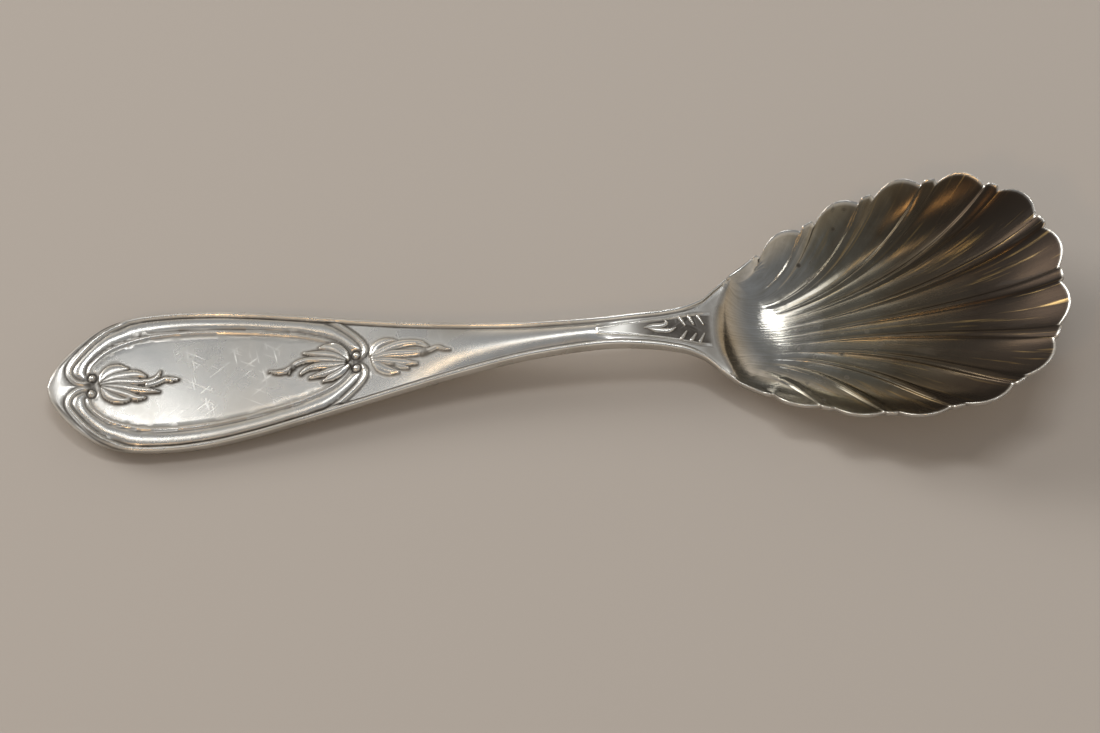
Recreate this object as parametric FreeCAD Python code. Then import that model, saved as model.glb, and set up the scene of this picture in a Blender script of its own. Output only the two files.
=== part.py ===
import FreeCAD, Part
import math
import os
from FreeCAD import Vector

# A small silver serving spoon with a fluted shell bowl, struck in one piece.
# Sizes in millimetres. X runs from the end of the handle to the tip of the bowl,
# Y across, Z up. Stations on the handle are measured from its end, stations on
# the neck and the bowl are measured back from the bowl's tip.

overall_length = 155.0

# plan of the bowl
bowl_width = 38.4
widest_back = 19.8
notch_back = 45.0
notch_half_width = 11.5
front_power = 2.35
rear_power = 1.8
lobe_count = 12
lobe_bulge = 1.0
tab_width = 1.6
tab_reach = 0.2
notch_run = 0.3
notch_depth = 0.25

# depth and wall of the bowl
bowl_depth = 5.6
deepest_back = 37.0
wall = 0.85
neck_opening_back = 52.0
opening_bend = 0.035
heel_cover = 1.0
heel_fall = 2.3
side_fall = 3.0
tip_fall = 4.5
steepest_wall = 1.3
fan_margin = 1.5
fan_start = 7.5
flute_depth = 0.6
back_flute_depth = 0.35
flute_start = 0.2
flute_full = 0.8

# plan of the handle
nose_run = 0.5
nose_half_width = 2.3
cheek_run = 3.5
cheek_half_width = 6.25
brow_run = 7.9
brow_half_width = 9.75
crown_run = 13.0
crown_half_width = 11.45
end_run = 19.5
end_half_width = 11.85
field_run = 31.5
field_half_width = 10.65
taper_run = 47.3
taper_half_width = 7.5
slim_half_width = 3.95
waist_back = 69.0
waist_half_width = 2.45
neck_back = 57.0
neck_half_width = 3.7
throat_back = 53.8
throat_half_width = 5.0
flare_back = 51.0
flare_half_width = 7.5
shoulder_back = 48.0
shoulder_narrowing = 1.5
shoulder_step = 0.25

# heights of the edge line, which the rim of the bowl carries on
end_height = 3.4
low_height = 2.45
low_run = 22.0
rising_height = 3.93
arch_height = 7.53
arch_back = 67.0
neck_height = 6.3
dip_height = 4.63
dip_back = 49.0
hub_height = 6.8
rise_height = 9.51
rise_back = 25.0
lip_height = 12.05
lip_back = 13.0
tip_height = 13.74

# section of the handle
end_edge_thickness = 1.35
taper_edge_thickness = 1.6
waist_edge_thickness = 2.0
shoulder_edge_thickness = 1.05
end_back_dome = 0.95
waist_back_dome = 0.7
neck_back_dome = 2.1
shoulder_back_dome = 2.4
field_depth = 0.5
thread_inset = 0.45
thread_radius = 0.45
thread_start = 11.5
band_rise = 0.34
band_width = 2.5
stem_ridge_rise = 0.62
stem_ridge_share = 0.36
ridge_fade = 2.0
band_fade = 14.0
nose_rise = 0.3
nose_start = 1.0
nose_end = 6.5

# carved ornament on the front: scrolled frame, oval, balls, leaves and neck panel
pinch_run = 6.85
clasp_run = 48.1
line_radius = 0.4
oval_radius = 0.34
oval_rise = 0.3
oval_inset = 3.4
oval_end_gap = 0.9
oval_power = 4.0
ball_radius = 0.55
pinch_spread = 1.35
clasp_spread = 1.1
end_scroll = [(0.0, 1.35), (-0.65, 0.5), (-1.6, 0.45), (-2.8, 1.1), (-3.6, 2.6), (-3.1, 4.2), (-1.0, 6.7), (1.3, 8.85)]
clasp_scroll = [(-4.7, 7.85), (-2.8, 6.75), (-0.7, 5.0), (0.9, 3.3), (1.35, 1.9), (0.9, 0.9), (0.0, 1.1)]
scroll_leave = 6.1
leaf_length = 12.0
leaf_rise = 0.42
leaf_gap_end = 1.6
leaf_gap_field = 1.4
leaf_gap_stem = 2.5
leaf_lobes = [
    ((0.0, 0.8), (0.16, 2.3), (0.33, 2.75), 0.75),
    ((0.0, 0.5), (0.31, 1.65), (0.58, 1.4), 0.68),
    ((0.0, 0.1), (0.38, 0.6), (0.7, 0.3), 0.5),
    ((0.0, -0.3), (0.32, -1.1), (0.56, -1.6), 0.6),
    ((0.0, -0.7), (0.18, -2.1), (0.35, -2.6), 0.72),
    ((0.64, -0.1), (0.84, 0.2), (1.0, 0.0), 0.4),
]
panel_back = 69.7
panel_end_back = 52.6
panel_start_half = 0.6
panel_end_half = 2.75
panel_radius = 0.3
tongue_length = 7.0
tongue_rise = 0.3

lobes_a_side = lobe_count // 2
bowl_tip = overall_length
widest_at = bowl_tip - widest_back
notch_at = bowl_tip - notch_back
deepest_at = bowl_tip - deepest_back
opening_at = bowl_tip - neck_opening_back
waist_at = bowl_tip - waist_back
neck_at = bowl_tip - neck_back
throat_at = bowl_tip - throat_back
flare_at = bowl_tip - flare_back
shoulder_at = bowl_tip - shoulder_back
arch_at = bowl_tip - arch_back
dip_at = bowl_tip - dip_back
rise_at = bowl_tip - rise_back
lip_at = bowl_tip - lip_back
panel_at = bowl_tip - panel_back
panel_end_at = bowl_tip - panel_end_back
slim_at = (taper_run + waist_at) / 2
bowl_half_width = bowl_width / 2


def easy_slopes(points):
    """Slopes for a curve through (x, value) pairs that never swings past its own points."""
    runs = [b[0] - a[0] for a, b in zip(points, points[1:])]
    rises = [(b[1] - a[1]) / run for a, b, run in zip(points, points[1:], runs)]
    slopes = [rises[0]]
    for index in range(1, len(rises)):
        before, after = rises[index - 1], rises[index]
        if before * after <= 0:
            slopes.append(0.0)
            continue
        first = 2 * runs[index] + runs[index - 1]
        second = runs[index] + 2 * runs[index - 1]
        slopes.append((first + second) / (first / before + second / after))
    slopes.append(rises[-1])
    return slopes


def smooth_curve(points, side=1):
    """The same curve as a spline in plan; side -1 mirrors it across the X axis."""
    curve = Part.BSplineCurve()
    curve.interpolate(
        Points=[Vector(x, side * value, 0) for x, value in points],
        Parameters=[x for x, value in points],
        Tangents=[Vector(1, side * slope, 0) for slope in easy_slopes(points)],
        TangentFlags=[True] * len(points),
    )
    return curve


def smooth_function(points):
    """A smooth curve through (x, value) pairs, read as a function of x."""
    curve = smooth_curve(points)
    slopes = easy_slopes(points)
    first, last = points[0][0], points[-1][0]

    def read(x):
        if x < first:
            return points[0][1] + (x - first) * slopes[0]
        if x > last:
            return points[-1][1] + (x - last) * slopes[-1]
        return curve.value(x).y

    return read


def smooth_step(x, start, end):
    share = min(max((x - start) / (end - start), 0.0), 1.0)
    return share * share * (3 - 2 * share)


handle_side = [
    (nose_run, nose_half_width),
    (cheek_run, cheek_half_width),
    (brow_run, brow_half_width),
    (crown_run, crown_half_width),
    (end_run, end_half_width),
    (field_run, field_half_width),
    (taper_run, taper_half_width),
    (slim_at, slim_half_width),
    (waist_at, waist_half_width),
    (neck_at, neck_half_width),
    (throat_at, throat_half_width),
    (flare_at, flare_half_width),
    (shoulder_at, notch_half_width - shoulder_narrowing),
    (notch_at, notch_half_width + shoulder_step),
]
handle_half_width = smooth_function(handle_side)

edge_height = smooth_function([
    (0.0, end_height),
    (low_run, low_height),
    (taper_run, rising_height),
    (arch_at, arch_height),
    (neck_at, neck_height),
    (dip_at, dip_height),
    (deepest_at, hub_height),
    (rise_at, rise_height),
    (lip_at, lip_height),
    (bowl_tip, tip_height),
])

edge_thickness = smooth_function([
    (0.0, end_edge_thickness),
    (taper_run, taper_edge_thickness),
    (waist_at, waist_edge_thickness),
    (notch_at, shoulder_edge_thickness),
])

back_dome = smooth_function([
    (0.0, end_back_dome),
    (taper_run, end_back_dome),
    (waist_at, waist_back_dome),
    (flare_at, neck_back_dome),
    (notch_at, shoulder_back_dome),
])


def rim_half_width(x):
    """Half width of the bowl at station x, without its lobes."""
    if x >= widest_at:
        share = min((x - widest_at) / widest_back, 1.0)
        return bowl_half_width * (1 - share ** front_power) ** (1 / front_power)
    share = (widest_at - x) / (notch_back - widest_back)
    return bowl_half_width - (bowl_half_width - notch_half_width) * share ** rear_power


rim_steps = 400


def rim_points():
    """Points close together along one side of the smooth rim, notch to tip."""
    points = []
    for step in range(rim_steps + 1):
        share = step / rim_steps
        if share < 0.5:
            x = notch_at + (widest_at - notch_at) * share * 2
            points.append(Vector(x, rim_half_width(x), 0))
        else:
            turn = (share - 0.5) * math.pi
            reach = math.sin(turn) ** (2 / front_power)
            rise = max(math.cos(turn), 0.0) ** (2 / front_power)
            points.append(Vector(widest_at + widest_back * reach, bowl_half_width * rise, 0))
    return points


rim_line = rim_points()
rim_lengths = [0.0]
for before, after in zip(rim_line, rim_line[1:]):
    rim_lengths.append(rim_lengths[-1] + before.distanceToPoint(after))
rim_length = rim_lengths[-1]


def rim_place(distance, outward=0.0):
    """The point this far along the rim from the notch, moved outward; past the tip it mirrors."""
    mirrored = distance > rim_length
    along = 2 * rim_length - distance if mirrored else distance
    along = min(max(along, 0.0), rim_length)
    index = 0
    while index < len(rim_lengths) - 2 and rim_lengths[index + 1] < along:
        index += 1
    run = rim_lengths[index + 1] - rim_lengths[index]
    share = (along - rim_lengths[index]) / run
    before, after = rim_line[index], rim_line[index + 1]
    direction = (after - before).normalize()
    place = before + (after - before) * share + Vector(-direction.y, direction.x, 0) * outward
    return Vector(place.x, -place.y, 0) if mirrored else place


def rim_edges():
    """The scalloped rim: lobes between small tabs, from one shoulder notch to the other."""
    lobe_length = rim_length / lobes_a_side
    lobes = lobe_count
    edges = []
    start = rim_place(0.0)
    for lobe in range(lobes):
        near = lobe * lobe_length
        far = near + lobe_length
        middle = rim_place((near + far) / 2, lobe_bulge)
        if lobe == lobes - 1:
            edges.append(Part.Arc(start, middle, rim_place(2 * rim_length)).toShape())
            break
        foot_in = rim_place(far - tab_width / 2 - notch_run, -notch_depth)
        tab_in = rim_place(far - tab_width / 2, tab_reach)
        tab_out = rim_place(far + tab_width / 2, tab_reach)
        foot_out = rim_place(far + tab_width / 2 + notch_run, -notch_depth)
        edges.append(Part.Arc(start, middle, foot_in).toShape())
        edges.append(Part.LineSegment(foot_in, tab_in).toShape())
        edges.append(Part.LineSegment(tab_in, tab_out).toShape())
        edges.append(Part.LineSegment(tab_out, foot_out).toShape())
        start = foot_out
    return edges


def outline_block():
    """The whole plan outline as a tall block, to trim the top and bottom faces with."""
    upper = smooth_curve(handle_side).toShape()
    lower = smooth_curve(handle_side, -1).toShape()
    nose = Part.Arc(Vector(nose_run, nose_half_width, 0), Vector(0, 0, 0), Vector(nose_run, -nose_half_width, 0))
    edges = [nose.toShape(), upper, lower]
    shoulder_in = Vector(notch_at, handle_half_width(notch_at), 0)
    edges.append(Part.LineSegment(shoulder_in, rim_place(0.0)).toShape())
    edges.append(Part.LineSegment(Vector(shoulder_in.x, -shoulder_in.y, 0), rim_place(2 * rim_length)).toShape())
    edges += rim_edges()
    wire = Part.Wire(Part.__sortEdges__(edges))
    face = Part.Face(wire)
    face.translate(Vector(0, 0, -block_below))
    return face.extrude(Vector(0, 0, block_height))


def stem_share(x):
    """How far the section has changed from the broad end (0) to the round-backed stem (1)."""
    return smooth_step(x, clasp_run, slim_at)


def face_height(x, y):
    """Height of the handle's front at a place in plan, between its border threads."""
    half = handle_half_width(x)
    inset = half - abs(y)
    carved = smooth_step(x, nose_start, nose_end)
    field = edge_height(x) - field_depth * carved
    across = min(abs(y) / half, 1.0)
    nose = (1 - carved) * (nose_rise - (nose_rise + thread_radius) * across ** 2)
    ridge_width = stem_ridge_share * (half - 2 * thread_inset)
    ridge = stem_ridge_rise * stem_share(x) * (1 - smooth_step(x, panel_at - ridge_fade, panel_at + ridge_fade))
    ridge *= math.exp(-(y / ridge_width) ** 2)
    middle = 2 * thread_inset + band_width / 2
    band = band_rise * carved * (1 - smooth_step(x, clasp_run - band_fade, clasp_run - band_width))
    band *= math.exp(-(2 * (inset - middle) / band_width) ** 2)
    return field + nose + ridge + band


def back_height(x, y):
    """Height of the handle's back, which is domed from edge to edge."""
    across = min(abs(y) / handle_half_width(x), 1.0)
    return edge_height(x) - edge_thickness(x) - back_dome(x) * (1 - across ** 2)


rows_along_handle = 58
front_margin = 0.6
back_margin = 1.0
rows_past_notch = 2.0
grid_nose_run = 4.0
grid_nose_taper = 0.9
columns_a_side = 3
column_step_out = 0.6


def grid_half_width(x):
    """Half width of the handle as its faces are laid out, kept broad past the nose."""
    if x >= grid_nose_run:
        return handle_half_width(x)
    return handle_half_width(grid_nose_run) - (grid_nose_run - x) * grid_nose_taper


def handle_rows(height, margin):
    """Points over one face of the handle, carried a margin past its ends and edges."""
    rows = []
    first, last = -margin, notch_at + rows_past_notch + margin
    for step in range(rows_along_handle + 1):
        x = first + (last - first) * step / rows_along_handle
        inner = grid_half_width(x) - 2 * thread_inset
        row = []
        for column in range(-columns_a_side, columns_a_side + 1):
            y = inner * column / columns_a_side + column_step_out * column
            row.append(Vector(x, y, height(x, y)))
        rows.append(row)
    return rows


def spread(rows):
    """Parameters for the points of a grid, from the mean distances between its columns."""
    marks = [0.0]
    for index in range(len(rows[0]) - 1):
        steps = [row[index].distanceToPoint(row[index + 1]) for row in rows]
        marks.append(marks[-1] + sum(steps) / len(steps))
    return marks


def spline_through(points, marks):
    curve = Part.BSplineCurve()
    curve.interpolate(Points=points, Parameters=marks)
    return curve


def spline_face(rows):
    """A smooth face through a grid of points, laid along its rows and columns."""
    across = spread(rows)
    along = spread([list(column) for column in zip(*rows)])
    row_curves = [spline_through(row, across) for row in rows]
    columns = zip(*[curve.getPoles() for curve in row_curves])
    column_curves = [spline_through(list(column), along) for column in columns]
    poles = [list(row) for row in zip(*[curve.getPoles() for curve in column_curves])]
    row_curve, column_curve = row_curves[0], column_curves[0]
    surface = Part.BSplineSurface()
    surface.buildFromPolesMultsKnots(
        poles,
        column_curve.getMultiplicities(),
        row_curve.getMultiplicities(),
        column_curve.getKnots(),
        row_curve.getKnots(),
        False,
        False,
        3,
        3,
    )
    return surface.toShape()


def bead_ring(place, heading, half_width, rise):
    """The section of a raised line, standing square to its heading: a low roof with a flat top."""
    sideways = Vector(heading.y, -heading.x, 0).normalize()
    upward = Vector(0, 0, 1)
    corners = []
    for out, up in [(-1, -0.6), (-0.5, 1), (0.5, 1), (1, -0.6)]:
        corners.append(place + sideways * (half_width * out) + upward * (rise * up))
    return Part.makePolygon(corners + [corners[0]])


def bead(places, half_widths, rises):
    """A raised line through the places, as wide and as high at each as it is told."""
    rings = []
    for index, place in enumerate(places):
        before = places[max(index - 1, 0)]
        after = places[min(index + 1, len(places) - 1)]
        rings.append(bead_ring(place, after - before, half_widths[index], rises[index]))
    return Part.makeLoft(rings, True, True)


def on_field(x, y, above=0.0):
    """A place on the sunk field of the front, this far above it."""
    return Vector(x, y, edge_height(x) - field_depth + above)


def border_thread(side):
    """The raised thread along one edge of the handle, from the scroll to the shoulder notch."""
    stations = [thread_start, (crown_run + end_run) / 2, end_run, (end_run + field_run) / 2, field_run]
    stations += [(field_run + taper_run) / 2, taper_run, (taper_run + slim_at) / 2, slim_at]
    stations += [(slim_at + waist_at) / 2, waist_at, (waist_at + neck_at) / 2, neck_at, throat_at]
    stations += [(throat_at + flare_at) / 2, flare_at, shoulder_at, notch_at]
    places = []
    for x in stations:
        y = side * (handle_half_width(x) - thread_inset)
        places.append(Vector(x, y, edge_height(x) - thread_radius))
    sizes = [thread_radius] * len(places)
    return bead(places, sizes, sizes)


def oval_half_width(x):
    """Half width of the oval line round the sunk field."""
    first, last = pinch_run - oval_end_gap / 2, clasp_run - oval_end_gap
    share = abs(2 * (x - first) / (last - first) - 1)
    rounding = max(1 - share ** oval_power, 0.0) ** (1 / oval_power)
    return max(handle_half_width(x) - oval_inset, 0.0) * rounding


oval_steps = 15


def oval_line(side):
    """One side of the oval, as a raised line from end to end."""
    first, last = pinch_run - oval_end_gap / 2, clasp_run - oval_end_gap
    places = []
    for step in range(oval_steps + 1):
        turn = math.pi * step / oval_steps
        eased = (1 - math.cos(turn)) / 2
        x = first + (last - first) * (eased + turn / math.pi) / 2
        if step in (0, oval_steps):
            x = first + (last - first) * eased
        places.append(on_field(x, side * oval_half_width(x)))
    count = len(places)
    return bead(places, [oval_radius] * count, [oval_rise] * count)


def scroll_line(run, turns, leave_run, side):
    """A frame line that leaves the border thread and winds in to a ball."""
    places = [on_field(run + along, side * out) for along, out in turns]
    leave = on_field(leave_run, side * (handle_half_width(leave_run) - thread_inset))
    if leave_run > run:
        places.append(leave)
    else:
        places.insert(0, leave)
    count = len(places)
    return bead(places, [line_radius * 0.85] * count, [line_radius] * count)


def leaf(root, heading):
    """A carved leaf: lobes that fan out from its root, each a tapered raised line."""
    lobes = []
    for near, middle, far, half in leaf_lobes:
        places = []
        for along, out in (near, middle, far):
            x = root + heading * along * leaf_length
            places.append(on_field(x, out))
        mid_in = (places[0] + places[1]) / 2
        mid_out = (places[1] + places[2]) / 2
        places = [places[0], mid_in, places[1], mid_out, places[2]]
        half_widths = [half * share for share in (0.45, 0.85, 1.0, 0.85, 0.25)]
        rises = [leaf_rise * share for share in (0.7, 1.0, 1.0, 0.9, 0.4)]
        lobes.append(bead(places, half_widths, rises))
    return lobes


def ball(x, y):
    """A small half ball where a scroll ends, as a raised line no longer than it is wide."""
    shares = [-1.0, -0.5, 0.5, 1.0]
    places = [on_field(x + ball_radius * share, y) for share in shares]
    sizes = [ball_radius * math.sqrt(1.05 - share * share) for share in shares]
    return bead(places, sizes, sizes)


def neck_panel():
    """The long shield on the neck: two raised edges, and a tongue at its narrow end."""
    lines = []
    for side in (-1, 1):
        places = []
        for step in range(5):
            share = step / 4
            x = panel_at + (panel_end_at - panel_at) * share
            out = panel_start_half + (panel_end_half - panel_start_half) * share ** 1.5
            places.append(on_field(x, side * out))
        lines.append(bead(places, [panel_radius * 0.8] * 5, [panel_radius] * 5))
    tongue = [on_field(panel_at + tongue_length * share, 0) for share in (0.0, 0.5, 1.0)]
    lines.append(bead(tongue, [panel_start_half] * 3, [tongue_rise, tongue_rise, tongue_rise / 2]))
    return lines


def ornament():
    """All that stands up from the sunk front of the handle, apart from the border threads."""
    pieces = []
    for side in (-1, 1):
        pieces.append(oval_line(side))
        pieces.append(scroll_line(pinch_run, end_scroll, crown_run, side))
        pieces.append(scroll_line(clasp_run, clasp_scroll, clasp_run - scroll_leave, side))
        pieces.append(ball(pinch_run, side * pinch_spread))
        pieces.append(ball(clasp_run, side * clasp_spread))
    pieces += leaf(pinch_run + leaf_gap_end, 1)
    pieces += leaf(clasp_run - leaf_gap_field, -1)
    pieces += leaf(clasp_run + leaf_gap_stem, 1)
    pieces += neck_panel()
    return pieces


def bowl_reach(angle):
    """Distance from the hub of the bowl to its smooth rim in a direction, by halving."""
    cosine, sine = math.cos(angle), abs(math.sin(angle))
    near, far = 0.0, 2 * widest_back + bowl_half_width
    for turn in range(30):
        middle = (near + far) / 2
        x, y = deepest_at + middle * cosine, middle * sine
        if x >= bowl_tip or x <= opening_at + opening_bend * y * y:
            inside = False
        elif x >= notch_at:
            inside = y < rim_half_width(x)
        else:
            inside = y < handle_half_width(x)
        near, far = (middle, far) if inside else (near, middle)
    return near


def bowl_floor(x, y):
    """Height of the inside of the bowl before its flutes are pressed in."""
    dx = x - deepest_at
    angle = math.atan2(y, dx)
    away = math.hypot(dx, y) / bowl_reach(angle)
    end_fall = heel_fall if dx < 0 else tip_fall
    fall = side_fall + (end_fall - side_fall) * math.cos(angle) ** 2
    return edge_height(min(x, bowl_tip + lobe_bulge)) - bowl_depth * (1 - away ** fall)


flow_bend = 2.5
flow_straight = 0.3
flow_edge_power = 6


def fan_place(along, across):
    """A place on the fan of flow lines, from the neck (along 0) to past the rim (along 1)."""
    end = rim_place((1 - across) * rim_length, fan_margin)
    outer = across ** flow_edge_power
    straight = flow_straight + (1 - flow_straight) * outer
    spread_out = straight * along + (1 - straight) * along ** flow_bend
    start = opening_at - fan_margin
    x = start + (end.x - start) * along
    y = fan_start * across * (1 - along) ** (2 - outer) + end.y * spread_out
    return x, y


def flute(along, across, sharpness):
    """Share of the full flute depth, nil on the ridges between the channels."""
    phase = (1 - across) * lobes_a_side
    wave = (0.5 - 0.5 * math.cos(2 * math.pi * phase)) ** sharpness
    return smooth_step(along, flute_start, flute_full) * wave


grid_steps_in = 8
grid_steps_a_lobe = 4
inside_sharpness = 0.62
back_sharpness = 1.0
slope_step = 0.01


def fan_rows():
    """Points over the inside of the bowl and, a wall's thickness below them, over its back."""
    steps_across = grid_steps_a_lobe * lobes_a_side
    inner, outer = [], []
    for row in range(grid_steps_in + 1):
        along = row / grid_steps_in
        inner_row, outer_row = [], []
        for column in range(-steps_across, steps_across + 1):
            across = column / steps_across
            x, y = fan_place(along, across)
            floor = bowl_floor(x, y)
            rise_x = bowl_floor(x + slope_step, y) - bowl_floor(x - slope_step, y)
            rise_y = bowl_floor(x, y + slope_step) - bowl_floor(x, y - slope_step)
            steepness = min(math.hypot(rise_x, rise_y) / (2 * slope_step), steepest_wall)
            below = wall * math.sqrt(1 + steepness ** 2) + (flute_depth - back_flute_depth) / 2
            inner_row.append(Vector(x, y, floor - flute_depth * flute(along, across, inside_sharpness)))
            pressed = back_flute_depth * flute(along, across, back_sharpness)
            outer_row.append(Vector(x, y, floor - below - pressed))
        inner.append(inner_row)
        outer.append(outer_row)
    return inner, outer


forward = 1


def strip_block(rows):
    """A solid standing on narrow strips, each ruled between two columns of a grid."""
    columns = [list(column) for column in zip(*rows)]
    marks = spread(columns)
    curves = [spline_through(column, marks).toShape() for column in columns]
    up = Vector(0, 0, block_height)
    faces = [curves[0].extrude(up), curves[-1].extrude(up)]
    for near, far in zip(curves, curves[1:]):
        strip = Part.makeRuledSurface(near, far, forward)
        faces += [strip, strip.translated(up)]
        for end in (0, -1):
            edge = Part.LineSegment(near.Vertexes[end].Point, far.Vertexes[end].Point)
            faces.append(edge.toShape().extrude(up))
    shell = Part.Shell(faces)
    shell.sewShape()
    return Part.Solid(shell)


def set_down(shape):
    """Moved so that its lowest point is at Z 0 and its length and width are centred."""
    points = shape.tessellate(0.05)[0]
    low_x = min(point.x for point in points)
    high_x = max(point.x for point in points)
    lowest = min(point.z for point in points)
    shape.translate(Vector(-(low_x + high_x) / 2, 0, -lowest))
    return shape


block_below = 10.0
block_height = 40.0


def spoon():
    """The whole spoon: the handle with its carving, the bowl, and the hollow pressed into it."""
    block = outline_block()
    front = spline_face(handle_rows(face_height, front_margin)).extrude(Vector(0, 0, -block_height))
    back = spline_face(handle_rows(back_height, back_margin)).extrude(Vector(0, 0, block_height))
    handle = block.common(front).common(back)
    threads = [border_thread(side).common(block) for side in (-1, 1)]
    inner, outer = fan_rows()
    hollow, lump = strip_block(inner), strip_block(outer)
    heel_at = opening_at + heel_cover
    ahead = Part.makeBox(bowl_tip, 2 * bowl_width, 2 * block_height, Vector(heel_at, -bowl_width, -block_height))
    bowl = block.common(ahead).common(lump)
    return handle.fuse(threads + [bowl]).cut(hollow).fuse(ornament())


if __name__ == "__main__":
    os.makedirs("parts", exist_ok=True)
    shape = set_down(spoon())
    shape.exportStep("parts/spoon.step")
    box = shape.BoundBox
    print("volume", round(shape.Volume, 1), "solids", len(shape.Solids), "faces", len(shape.Faces))
    print("length", round(box.XLength, 2), "width", round(box.YLength, 2), "height", round(box.ZLength, 2))
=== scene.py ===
import math
import bpy
import numpy as np
from mathutils import Matrix, Vector


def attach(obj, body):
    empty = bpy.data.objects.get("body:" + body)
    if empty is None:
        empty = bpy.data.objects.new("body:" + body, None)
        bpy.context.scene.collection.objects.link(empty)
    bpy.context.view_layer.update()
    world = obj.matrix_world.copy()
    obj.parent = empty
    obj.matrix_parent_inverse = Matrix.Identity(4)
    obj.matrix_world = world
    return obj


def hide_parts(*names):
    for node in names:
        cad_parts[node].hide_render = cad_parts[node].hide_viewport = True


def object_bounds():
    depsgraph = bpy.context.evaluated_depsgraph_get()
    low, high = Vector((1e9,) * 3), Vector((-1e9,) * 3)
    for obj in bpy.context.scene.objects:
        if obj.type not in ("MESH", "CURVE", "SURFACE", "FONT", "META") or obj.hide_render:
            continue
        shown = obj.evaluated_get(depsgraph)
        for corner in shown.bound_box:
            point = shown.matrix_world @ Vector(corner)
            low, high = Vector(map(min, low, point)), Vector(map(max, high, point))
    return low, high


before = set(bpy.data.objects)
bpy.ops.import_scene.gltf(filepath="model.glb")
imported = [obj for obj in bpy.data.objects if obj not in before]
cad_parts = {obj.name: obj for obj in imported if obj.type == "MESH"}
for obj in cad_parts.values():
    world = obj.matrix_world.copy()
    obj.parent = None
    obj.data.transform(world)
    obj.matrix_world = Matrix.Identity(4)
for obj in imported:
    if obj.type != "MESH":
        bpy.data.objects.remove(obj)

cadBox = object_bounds()
print("frame loaded")


# smooth curves through a few points, never swinging past them

class Curve:
    def __init__(self, points):
        self.x = np.array([p[0] for p in points], float)
        self.y = np.array([p[1] for p in points], float)
        runs = np.diff(self.x)
        rises = np.diff(self.y) / runs
        slopes = [rises[0]]
        for i in range(1, len(rises)):
            before, after = rises[i - 1], rises[i]
            if before * after <= 0:
                slopes.append(0.0)
                continue
            first = 2 * runs[i] + runs[i - 1]
            second = runs[i] + 2 * runs[i - 1]
            slopes.append((first + second) / (first / before + second / after))
        slopes.append(rises[-1])
        self.slopes = np.array(slopes)

    def __call__(self, at):
        at = np.asarray(at, float)
        i = np.clip(np.searchsorted(self.x, at) - 1, 0, len(self.x) - 2)
        run = self.x[i + 1] - self.x[i]
        t = np.clip((at - self.x[i]) / run, 0, 1)
        a, b, p, q = self.y[i], self.y[i + 1], self.slopes[i] * run, self.slopes[i + 1] * run
        inside = a + t * (p + t * (3 * (b - a) - 2 * p - q + t * (p + q - 2 * (b - a))))
        low = np.minimum(at - self.x[0], 0) * self.slopes[0]
        high = np.maximum(at - self.x[-1], 0) * self.slopes[-1]
        return inside + low + high


def easeIn(x, start, end):
    t = np.clip((x - start) / (end - start), 0, 1)
    return t * t * (3 - 2 * t)


def hump(x, half):
    # 1 at zero, level to nil at half, with a round top
    return np.clip(1 - (x / half) ** 2, 0, 1)


# sizes in millimetres, along X from the end of the handle

farOff = 50.0    # more than any distance that is looked up

plan = {
    "length": 155.0,
    "bowlHalf": 19.2,
    "widestAt": 135.2,
    "notchAt": 110.0,
    "notchHalf": 11.5,
    "frontPower": 2.35,
    "rearPower": 1.8,
    "lobes": 6,
    "lobeBulge": 1.0,
    "tabHalf": 0.8,
    "tabReach": 0.2,
    "notchRun": 0.3,
    "notchDepth": 0.25,
    "noseRun": 0.5,
}
handleHalf = Curve([
    (0.5, 2.3), (1.85, 4.35), (3.5, 6.25), (5.4, 8.0), (7.9, 9.75), (10.3, 10.8), (13.0, 11.45),
    (16.0, 11.77), (19.5, 11.85), (25.0, 11.54), (31.5, 10.65), (39.5, 9.12), (47.3, 7.5), (56.5, 5.66),
    (66.65, 3.95), (76.0, 2.85), (86.0, 2.45), (92.5, 2.84), (98.0, 3.7), (101.2, 5.0), (104.0, 7.5),
    (107.0, 10.0), (110.0, 11.75),
])
edgeHeight = Curve([
    (0, 3.4), (22, 2.45), (47.3, 3.93), (88, 7.53), (98, 6.3), (106, 4.63), (118, 6.8),
    (130, 9.51), (142, 12.05), (155, 13.74),
])
edgeThick = Curve([(0, 1.35), (47.3, 1.6), (86, 2.0), (110, 1.05)])
backDome = Curve([(0, 0.95), (47.3, 0.95), (86, 0.7), (104, 2.1), (110, 2.4)])

bowl = {
    "hubAt": 118.0,
    "openAt": 103.0,       # where the hollow begins on the middle line
    "openBend": 0.035,
    "openBlend": 1.6,      # run over which the heel's edge turns into the hollow
    "heelRoom": 3.0,
    "faceEnd": 108.0,      # the handle's relief ends here
    "depth": 5.6,
    "heelFall": 2.3,
    "sideFall": 3.0,
    "tipFall": 4.5,
    "fanHalf": 7.0,
    "fanStart": 0.16,
    "fluteDepth": 0.48,
    "backFlute": 0.35,
    "fluteStart": 0.2,
    "fluteFull": 0.8,
    "sideEase": 0.4,       # how much shallower the flutes beside the neck are
    "sideShare": (0.62, 0.9),
    "wall": 0.85,
    "wallSpare": 0.04,
    "steepest": 1.2,
    "backFrom": 96.0,
    "backBlend": (105.0, 109.0),
    "backSoft": 0.8,
    "joinSoft": 0.06,      # how softly the handle's end meets the hollow
    "joinShown": (-0.05, 0.12),
    "edgeRound": 0.26,
    "edgeRun": (100.0, 106.0),
    "edgeWorn": (0.12, 0.5),
    "leastThick": 0.12,
}


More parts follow.
